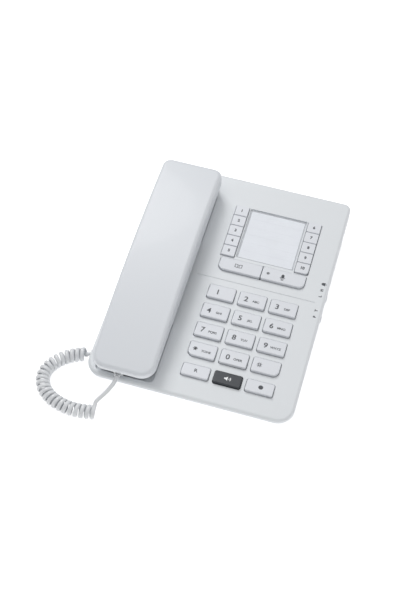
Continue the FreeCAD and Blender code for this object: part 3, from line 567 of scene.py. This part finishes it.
coverGap = 0.1 * mm    # the clear cover off the card, so that their faces don't coincide
outside = {
    "top_housing": "shellPlastic", "bottom_housing": "shellPlastic", "handset_top_shell": "handsetPlastic",
    "handset_bottom_shell": "handsetPlastic", "hook_plunger": "plungerPlastic",
    "ringer_switch_knob": "keyPlastic", "dial_mode_switch_knob": "keyPlastic", "in_use_led": "ledLens",
    "index_window": "clearCover", "index_card": "cardPaper", "rubber_feet": "footRubber",
    "housing_screws": "platedSteel", "handset_screws": "platedSteel", "line_jack": "blackNylon",
    "base_cord_jack": "blackNylon", "handset_cord_jack": "blackNylon", "cord_plug_base": "clearPlug",
    "cord_plug_handset": "clearPlug",
}
inside = {
    "key_mat": "matSilicone", "keypad_board": "boardLaminate", "main_board": "boardLaminate",
    "board_screws": "platedSteel", "microphone": "capsuleCan", "loudspeaker": "capsuleCan",
    "hook_spring": "platedSteel", "hook_switch": "blackNylon", "slide_switch_bodies": "blackNylon",
    "ballast_weight": "platedSteel", "earpiece_capsule": "capsuleCan", "mouthpiece_capsule": "capsuleCan",
    "handset_weight": "platedSteel",
}
keyNodes = sorted(name for name in nodes if name.startswith(("key_", "memory_key_"))
                  and name + "_press" in axisOf)
for name in keyNodes:
    outside[name] = "darkKeyPlastic" if name == "key_speaker" else "keyPlastic"
pieces = {name: finishedCopy(name, material) for name, material in outside.items()
          if not name.startswith("cord_plug")}
for name, material in [*inside.items(), ("cord_plug_base", "clearPlug"),
                       ("cord_plug_handset", "clearPlug")]:
    nodes[name].data.materials.clear()
    nodes[name].data.materials.append(paint[material])
for vertex in pieces["index_window"].data.vertices:
    vertex.co += normal * coverGap
print("stage: finished copies,", len(pieces))


# printed legends and signs
inkDepth = 0.03 * mm
legends = {
    # sizes, drops and bolds in mm; places are shares of the key's width from its left
    "digitSize": 6.9, "digitPlace": 0.29, "digitDrop": 0.5, "digitBold": 0.14, "onePlace": 0.38,
    "wordSize": 2.9, "wordPlace": 0.63, "wordDrop": 1.1, "wordBold": 0.09,
    "smallSize": 3.6, "smallBold": 0.2, "letterSize": 4.6, "letterBold": 0.1,
    "starPlace": 0.26, "hashPlace": 0.28, "redialPlace": 0.53, "widePlace": 0.47, "speakerShift": 0.2,
    "words": {"key_2": "ABC", "key_3": "DEF", "key_4": "GHI", "key_5": "JKL", "key_6": "MNO",
              "key_7": "PQRS", "key_8": "TUV", "key_9": "WXYZ", "key_0": "OPER",
              "key_star": "TONE"},
}


def bvhOf(node):
    mesh = nodes[node].data
    return BVHTree.FromPolygons([v.co for v in mesh.vertices],
                                [tuple(p.vertices) for p in mesh.polygons])


def faceFrame(tree, x, p):
    # where a line straight down the panel's normal meets a node, with the surface's own axes
    place, facing, _, _ = tree.ray_cast(onPanel(x, p, 0.05), -normal)
    upward = facing.cross(right).normalized()
    return Matrix((right, upward, facing)).transposed().to_4x4(), place


def inkMesh(curve):
    # a text or outline, in millimetres, as a thin closed sheet of ink
    curve.extrude = inkDepth / mm
    holder = bpy.data.objects.new("ink", curve)
    bpy.context.scene.collection.objects.link(holder)
    bpy.context.view_layer.update()
    mesh = bpy.data.meshes.new_from_object(holder)
    bpy.data.objects.remove(holder)
    return mesh


def textInk(words, size, bold=0.0):
    curve = bpy.data.curves.new("words", "FONT")
    curve.body = words
    curve.size = size
    curve.offset = bold
    curve.align_x = "CENTER"
    curve.align_y = "CENTER"
    curve.resolution_u = 3
    return inkMesh(curve)


def outlineInk(outlines):
    # filled closed outlines; one inside another is a hole
    curve = bpy.data.curves.new("outline", "CURVE")
    curve.dimensions = "2D"
    curve.fill_mode = "BOTH"
    for points in outlines:
        spline = curve.splines.new("POLY")
        spline.points.add(len(points) - 1)
        for point, (x, y) in zip(spline.points, points):
            point.co = (x, y, 0.0, 1.0)
        spline.use_cyclic_u = True
    return inkMesh(curve)


def arcPoints(radius, first, last, count=18, centre=(0.0, 0.0)):
    # points on an arc, angles in degrees
    angles = [math.radians(first + (last - first) * step / count) for step in range(count + 1)]
    return [(centre[0] + radius * math.cos(a), centre[1] + radius * math.sin(a)) for a in angles]


def band(radius, width, first, last, centre=(0.0, 0.0)):
    outer = arcPoints(radius + width / 2, first, last, 14, centre)
    return outer + list(reversed(arcPoints(radius - width / 2, first, last, 14, centre)))


def bar(x0, x1, y0, y1):
    return [(x0, y0), (x1, y0), (x1, y1), (x0, y1)]


def printOn(name, body, marks):
    # marks: (mesh in mm, material, BVH tree, x, p, turn in degrees); they become one piece
    whole = bmesh.new()
    used = []
    for mesh, material, tree, x, p, turn in marks:
        turned, place = faceFrame(tree, x, p)
        spin = Matrix.Rotation(math.radians(turn), 4, "Z")
        mesh.transform(Matrix.Translation(place) @ turned @ spin @ Matrix.Scale(mm, 4))
        if material not in used:
            used.append(material)
        before = len(whole.faces)
        whole.from_mesh(mesh)
        whole.faces.ensure_lookup_table()
        for face in whole.faces[before:]:
            face.material_index = used.index(material)
        bpy.data.meshes.remove(mesh)
    bmesh.ops.remove_doubles(whole, verts=whole.verts, dist=0.001 * mm)
    data = bpy.data.meshes.new(name)
    whole.to_mesh(data)
    whole.free()
    for material in used:
        data.materials.append(paint[material])
    piece = bpy.data.objects.new(name, data)
    bpy.context.scene.collection.objects.link(piece)
    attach(piece, body)
    return piece


def speakerSign():
    horn = [(-2.6, -0.75), (-1.5, -0.75), (0.1, -2.0), (0.1, 2.0), (-1.5, 0.75), (-2.6, 0.75)]
    return outlineInk([horn, band(1.1, 0.5, -42, 42, (0.3, 0)), band(2.3, 0.55, -42, 42, (0.3, 0))])


def bookSign():
    # an open book: two pages and their spine
    left = [(-3.1, -1.6), (-0.3, -2.1), (-0.3, 1.5), (-3.1, 2.0)]
    leftPage = [(-2.6, -1.1), (-0.8, -1.45), (-0.8, 1.05), (-2.6, 1.4)]
    return outlineInk([left, leftPage, [(-x, y) for x, y in left], [(-x, y) for x, y in leftPage]])


def microphoneSign():
    capsule = arcPoints(1.25, 0, 180, 12, (0, 1.3)) + arcPoints(1.25, 180, 360, 12, (0, -0.4))
    return outlineInk([capsule, band(2.0, 0.45, 190, 350, (0, -0.3)), bar(-0.25, 0.25, -3.4, -2.1),
                       bar(-1.3, 1.3, -3.8, -3.35)])


def bellSign():
    rim = [(-1.3, -0.9), (-1.9, -1.5), (1.9, -1.5), (1.3, -0.9)]
    dome = arcPoints(1.3, 0, 180, 12, (0, 0.4)) + rim
    return outlineInk([dome, arcPoints(0.45, 0, 342, 10, (0, -2.1))])


def printLegends():
    count = 0
    for node in keyNodes:
        low, high = panelBox(node)
        tree = bvhOf(node)
        x0, x1 = low.x, high.x
        wide, p = x1 - x0, (low.y + high.y) / 2
        marks = []
        number = node.rsplit("_", 1)[-1]
        if node.startswith("memory_key_"):
            marks.append((textInk(number, legends["smallSize"], legends["smallBold"]), "darkInk", tree,
                          (x0 + x1) / 2, p, 0))
        elif node == "key_star":
            arms = [[(x * math.cos(a) - y * math.sin(a), x * math.sin(a) + y * math.cos(a))
                     for x, y in bar(-1.9, 1.9, -0.42, 0.42)] for a in (0.0, math.pi / 3, 2 * math.pi / 3)]
            for arm in arms:
                marks.append((outlineInk([arm]), "darkInk", tree, x0 + wide * legends["starPlace"], p, 0))
        elif node == "key_hash":
            strokes = [bar(-2.0, 2.0, 0.5, 1.0), bar(-2.0, 2.0, -1.0, -0.5), bar(-1.0, -0.5, -2.2, 2.2),
                       bar(0.5, 1.0, -2.2, 2.2)]
            for stroke in strokes:
                marks.append((outlineInk([stroke]), "darkInk", tree,
                              x0 + wide * legends["hashPlace"], p, 0))
        elif number.isdigit():
            place = legends["onePlace" if number == "1" else "digitPlace"]
            marks.append((textInk(number, legends["digitSize"], legends["digitBold"]), "darkInk", tree,
                          x0 + wide * place, p - legends["digitDrop"] * mm, 0))
        elif node == "key_flash":
            marks.append((textInk("R", legends["letterSize"], legends["letterBold"]), "darkInk", tree,
                          (x0 + x1) / 2, p, 0))
        elif node == "key_speaker":
            marks.append((speakerSign(), "whiteInk", tree,
                          (x0 + x1) / 2 - legends["speakerShift"] * mm, p, 0))
        elif node == "key_redial":
            marks.append((outlineInk([arcPoints(1.95, 0, 350, 30)]), "darkInk", tree,
                          x0 + wide * legends["redialPlace"], p, 0))
        elif node == "key_store":
            marks.append((bookSign(), "darkInk", tree, x0 + wide * legends["widePlace"], p, 0))
        elif node == "key_mute":
            marks.append((microphoneSign(), "darkInk", tree,
                          x0 + wide * legends["widePlace"], p, 0))
        if node in legends["words"]:
            word = textInk(legends["words"][node], legends["wordSize"], legends["wordBold"])
            marks.append((word, "darkInk", tree, x0 + wide * legends["wordPlace"],
                          p - legends["wordDrop"] * mm, 0))
        if marks:
            printOn(node + "_legend", node, marks)
            count += 1
    return count


edgeSigns = {"inset": 5.0, "size": 3.0, "bold": 0.2, "pitch": 6.0, "shift": 1.5}


def printEdgeSigns():
    # one column beside the slide switches: each one's positions, with a bell over the ringer's
    tree = bvhOf("top_housing")
    x = shellHigh.x - edgeSigns["inset"] * mm
    pitch = edgeSigns["pitch"] * mm
    marks = []
    for node, words in (("ringer_switch_knob", "LH"), ("dial_mode_switch_knob", "PT")):
        low, high = panelBox(node)
        p = (low.y + high.y) / 2 + edgeSigns["shift"] * mm
        for place, word in zip((-pitch / 2, pitch / 2), words):
            letter = textInk(word, edgeSigns["size"], edgeSigns["bold"])
            marks.append((letter, "darkInk", tree, x, p + place, 90))
        if node == "ringer_switch_knob":
            marks.append((bellSign(), "darkInk", tree, x, p + 1.5 * pitch, 90))
    printOn("switch_signs", "base", marks)


printed = printLegends()
printEdgeSigns()
print("stage: legends on", printed, "keys")


# index card: printed frame and writing lines
card = {"border": 0.35, "inset": 0.25, "lines": 5, "line": 0.15, "margin": 3.0}


def printCard():
    low, high = panelBox("index_card")
    tree = bvhOf("index_card")
    wide, deep = (high.x - low.x) / mm, (high.y - low.y) / mm
    x, y = wide / 2 - card["inset"], deep / 2 - card["inset"]
    edge = card["border"]
    frameMark = outlineInk([bar(-x, x, -y, y), bar(-x + edge, x - edge, -y + edge, y - edge)])
    centre = ((low.x + high.x) / 2, (low.y + high.y) / 2)
    marks = [(frameMark, "greyInk", tree, *centre, 0)]
    for number in range(card["lines"]):
        level = y - 2 * y * (number + 1) / (card["lines"] + 1)
        half = card["line"] / 2
        rule = outlineInk([bar(-x + card["margin"], x - card["margin"], level - half, level + half)])
        marks.append((rule, "paleInk", tree, *centre, 0))
    printOn("index_card_frame", "base", marks)


printCard()
print("stage: index card")


# repeated small parts, by Geometry Nodes
def startTree(name, inputs):
    tree = bpy.data.node_groups.new(name, "GeometryNodeTree")
    for label, kind in inputs:
        tree.interface.new_socket(name=label, in_out="INPUT", socket_type=kind)
    tree.interface.new_socket(name="Geometry", in_out="OUTPUT", socket_type="NodeSocketGeometry")
    return tree, tree.nodes.new("NodeGroupInput").outputs, tree.nodes.new("NodeGroupOutput").inputs


def grow(name, tree, values, matrix, body):
    # runs a tree with its named inputs and keeps the result as a plain mesh on one body
    piece = newMesh(name, [(0, 0, 0)], [])
    modifier = piece.modifiers.new("grow", "NODES")
    modifier.node_group = tree
    sockets = {item.name: item.identifier for item in tree.interface.items_tree
               if item.in_out == "INPUT"}
    for label, value in values.items():
        modifier[sockets[label]] = value
    bpy.context.view_layer.update()
    graph = bpy.context.evaluated_depsgraph_get()
    mesh = bpy.data.meshes.new_from_object(piece.evaluated_get(graph))
    piece.modifiers.clear()
    mesh.transform(matrix)
    piece.data = mesh
    mesh.name = name
    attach(piece, body)
    return piece


def finishTree(tree, geometry, material, out):
    # instances become real geometry with their finish
    real = tree.nodes.new("GeometryNodeRealizeInstances")
    tree.links.new(geometry, real.inputs["Geometry"])
    colour = tree.nodes.new("GeometryNodeSetMaterial")
    tree.links.new(real.outputs["Geometry"], colour.inputs["Geometry"])
    tree.links.new(material, colour.inputs["Material"])
    tree.links.new(colour.outputs["Geometry"], out["Geometry"])


def addNode(tree, kind, **settings):
    made = tree.nodes.new(kind)
    for label, value in settings.items():
        setattr(made, label, value)
    return made


def vector(tree, x=0.0, y=0.0, z=0.0):
    made = addNode(tree, "ShaderNodeCombineXYZ")
    for socket, value in zip(made.inputs, (x, y, z)):
        if isinstance(value, (int, float)):
            socket.default_value = value
        else:
            tree.links.new(value, socket)
    return made.outputs[0]


def buildContactRow():
    # bent spring wires side by side, each rising from the mouth to the back
    tree, given, out = startTree("contactRow", (
        ("Count", "NodeSocketInt"), ("Pitch", "NodeSocketFloat"), ("Length", "NodeSocketFloat"),
        ("Rise", "NodeSocketFloat"), ("Wire", "NodeSocketFloat"), ("Material", "NodeSocketMaterial")))
    wire = addNode(tree, "GeometryNodeCurveQuadraticBezier")
    wire.inputs["Resolution"].default_value = 10
    tree.links.new(vector(tree), wire.inputs["Start"])
    tree.links.new(vector(tree, y=mathNode(tree, "MULTIPLY", given["Length"], 0.3), z=given["Rise"]),
                   wire.inputs["Middle"])
    tree.links.new(vector(tree, y=given["Length"], z=given["Rise"]), wire.inputs["End"])
    section = addNode(tree, "GeometryNodeCurvePrimitiveCircle")
    section.inputs["Resolution"].default_value = 8
    tree.links.new(given["Wire"], section.inputs["Radius"])
    tube = addNode(tree, "GeometryNodeCurveToMesh")
    tube.inputs["Fill Caps"].default_value = True
    tree.links.new(wire.outputs["Curve"], tube.inputs["Curve"])
    tree.links.new(section.outputs["Curve"], tube.inputs["Profile Curve"])
    row = addNode(tree, "GeometryNodeMeshLine")
    tree.links.new(given["Count"], row.inputs["Count"])
    tree.links.new(vector(tree, x=given["Pitch"]), row.inputs["Offset"])
    shift = addNode(tree, "GeometryNodeTransform")
    half = mathNode(tree, "MULTIPLY", mathNode(tree, "SUBTRACT", given["Count"], 1.0), -0.5)
    tree.links.new(row.outputs["Mesh"], shift.inputs["Geometry"])
    back = vector(tree, x=mathNode(tree, "MULTIPLY", half, given["Pitch"]))
    tree.links.new(back, shift.inputs["Translation"])
    copies = addNode(tree, "GeometryNodeInstanceOnPoints")
    tree.links.new(shift.outputs["Geometry"], copies.inputs["Points"])
    tree.links.new(tube.outputs["Mesh"], copies.inputs["Instance"])
    finishTree(tree, copies.outputs["Instances"], given["Material"], out)
    return tree


def buildGripRings():
    # raised rings, each a size larger than the one before
    tree, given, out = startTree("gripRings", (
        ("Count", "NodeSocketInt"), ("Pitch", "NodeSocketFloat"), ("Wire", "NodeSocketFloat"),
        ("Material", "NodeSocketMaterial")))
    ring = addNode(tree, "GeometryNodeCurvePrimitiveCircle")
    ring.inputs["Resolution"].default_value = 40
    ring.inputs["Radius"].default_value = 1.0
    row = addNode(tree, "GeometryNodeMeshLine")
    tree.links.new(given["Count"], row.inputs["Count"])
    tree.links.new(vector(tree), row.inputs["Offset"])
    copies = addNode(tree, "GeometryNodeInstanceOnPoints")
    number = addNode(tree, "GeometryNodeInputIndex")
    ordinal = mathNode(tree, "ADD", number.outputs["Index"], 1.0)
    size = mathNode(tree, "MULTIPLY", ordinal, given["Pitch"])
    tree.links.new(row.outputs["Mesh"], copies.inputs["Points"])
    tree.links.new(ring.outputs["Curve"], copies.inputs["Instance"])
    tree.links.new(vector(tree, size, size, 1.0), copies.inputs["Scale"])
    real = addNode(tree, "GeometryNodeRealizeInstances")
    tree.links.new(copies.outputs["Instances"], real.inputs["Geometry"])
    section = addNode(tree, "GeometryNodeCurvePrimitiveCircle")
    section.inputs["Resolution"].default_value = 6
    tree.links.new(given["Wire"], section.inputs["Radius"])
    tube = addNode(tree, "GeometryNodeCurveToMesh")
    tree.links.new(real.outputs["Geometry"], tube.inputs["Curve"])
    tree.links.new(section.outputs["Curve"], tube.inputs["Profile Curve"])
    finishTree(tree, tube.outputs["Mesh"], given["Material"], out)
    return tree


def buildBoardParts():
    # small chips and capacitors on a grid, with seeded sizes and gaps
    tree, given, out = startTree("boardParts", (
        ("Width", "NodeSocketFloat"), ("Depth", "NodeSocketFloat"), ("Across", "NodeSocketInt"),
        ("Along", "NodeSocketInt"), ("Size", "NodeSocketFloat"), ("Seed", "NodeSocketInt"),
        ("Material", "NodeSocketMaterial")))
    grid = addNode(tree, "GeometryNodeMeshGrid")
    for label, socket in (("Width", "Size X"), ("Depth", "Size Y"),
                          ("Across", "Vertices X"), ("Along", "Vertices Y")):
        tree.links.new(given[label], grid.inputs[socket])
    chip = addNode(tree, "GeometryNodeMeshCube")
    tree.links.new(vector(tree, given["Size"], given["Size"], mathNode(tree, "MULTIPLY", given["Size"], 0.6)),
                   chip.inputs["Size"])
    chance = addNode(tree, "FunctionNodeRandomValue", data_type="BOOLEAN")
    chance.inputs["Probability"].default_value = 0.6
    tree.links.new(given["Seed"], chance.inputs["Seed"])
    spread = addNode(tree, "FunctionNodeRandomValue", data_type="FLOAT_VECTOR")
    spread.inputs["Min"].default_value = (0.5, 0.35, 0.5)
    spread.inputs["Max"].default_value = (1.4, 1.0, 1.0)
    tree.links.new(given["Seed"], spread.inputs["Seed"])
    copies = addNode(tree, "GeometryNodeInstanceOnPoints")
    tree.links.new(grid.outputs["Mesh"], copies.inputs["Points"])
    tree.links.new(chip.outputs["Mesh"], copies.inputs["Instance"])
    tree.links.new(chance.outputs[3], copies.inputs["Selection"])
    tree.links.new(spread.outputs[0], copies.inputs["Scale"])
    finishTree(tree, copies.outputs["Instances"], given["Material"], out)
    return tree


contactRow = buildContactRow()
gripRings = buildGripRings()
boardParts = buildBoardParts()
contacts = {    # in mm, but for the pins; the gaps are to the socket's mouth, floor and end
    "pitch": 1.02, "wire": 0.22, "lineRise": 2.4, "cordRise": 0.35, "cordPins": 4, "linePins": 6,
    "mouthGap": 2.0, "floorGap": 1.9, "bothEnds": 4.2,
}


def growContacts():
    # (jack node, body, pins, direction into the jack, up)
    back = Vector((0, -1, 0))
    for jack, body, pins, inward, upward in (
            ("line_jack", "base", contacts["linePins"], back, Vector((0, 0, 1))),
            ("base_cord_jack", "base", contacts["cordPins"], right, Vector((0, 0, 1))),
            ("handset_cord_jack", "handset", contacts["cordPins"], slope, normal)):
        points = [v.co for v in nodes[jack].data.vertices]
        middlePoint = sum(((min(c.dot(way) for c in points) + max(c.dot(way) for c in points)) / 2 * way
                           for way in (inward, upward, inward.cross(upward))), Vector())
        mouth = min(c.dot(inward) for c in points)
        deep = max(c.dot(inward) for c in points) - mouth
        tall = max(c.dot(upward) for c in points) - min(c.dot(upward) for c in points)
        across = inward.cross(upward)
        inset = mouth + contacts["mouthGap"] * mm - middlePoint.dot(inward)
        start = middlePoint + inward * inset - upward * (tall / 2 - contacts["floorGap"] * mm)
        matrix = Matrix.Translation(start) @ Matrix((across, inward, upward)).transposed().to_4x4()
        rise = contacts["lineRise" if jack == "line_jack" else "cordRise"]
        grow(jack + "_contacts", contactRow,
             {"Count": pins, "Pitch": contacts["pitch"] * mm,
              "Length": deep - contacts["bothEnds"] * mm, "Rise": rise * mm,
              "Wire": contacts["wire"] * mm, "Material": paint["goldPlate"]}, matrix, body)


footRings = {"footRadius": 6.0, "rings": 4, "pitch": 1.2, "wire": 0.18, "lift": 0.2}


def growFootRings():
    low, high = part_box("rubber_feet")
    radius = footRings["footRadius"] * mm
    number = 0
    for x in (low.x + radius, high.x - radius):
        for y in (low.y + radius, high.y - radius):
            number += 1
            grow("foot_%d_rings" % number, gripRings,
                 {"Count": footRings["rings"], "Pitch": footRings["pitch"] * mm,
                  "Wire": footRings["wire"] * mm, "Material": paint["footRubber"]},
                 Matrix.Translation((x, y, footRings["lift"] * mm)), "base")


boardBlocks = {    # side is the face that carries them, 1 above and -1 below; the rest in mm
    "main_board": {"size": 4.0, "seed": 3, "side": 1, "field": (30.0, 36.0), "left": 8, "down": 4},
    "keypad_board": {"size": 1.6, "seed": 8, "side": -1, "field": (60.0, 120.0), "left": 0, "down": 4},
}
blockGrid = {"across": 5, "along": 6, "lift": 0.25}    # lift is a share of the block's size


def growBoardParts():
    for board, facts in boardBlocks.items():
        low, high = panelBox(board)
        size, side, field = facts["size"], facts["side"], facts["field"]
        level = high.z if side > 0 else low.z
        centre = onPanel((low.x + high.x) / 2 - facts["left"] * mm,
                         (low.y + high.y) / 2 - facts["down"] * mm,
                         level + side * size * blockGrid["lift"] * mm)
        matrix = Matrix.Translation(centre) @ Matrix((right, slope, normal)).transposed().to_4x4()
        grow(board + "_parts", boardParts,
             {"Width": field[0] * mm, "Depth": field[1] * mm, "Across": blockGrid["across"],
              "Along": blockGrid["along"], "Size": size * mm, "Seed": facts["seed"],
              "Material": paint["blackNylon"]}, matrix, "base")


growContacts()
growFootRings()
growBoardParts()
print("stage: contacts, foot rings and board parts")
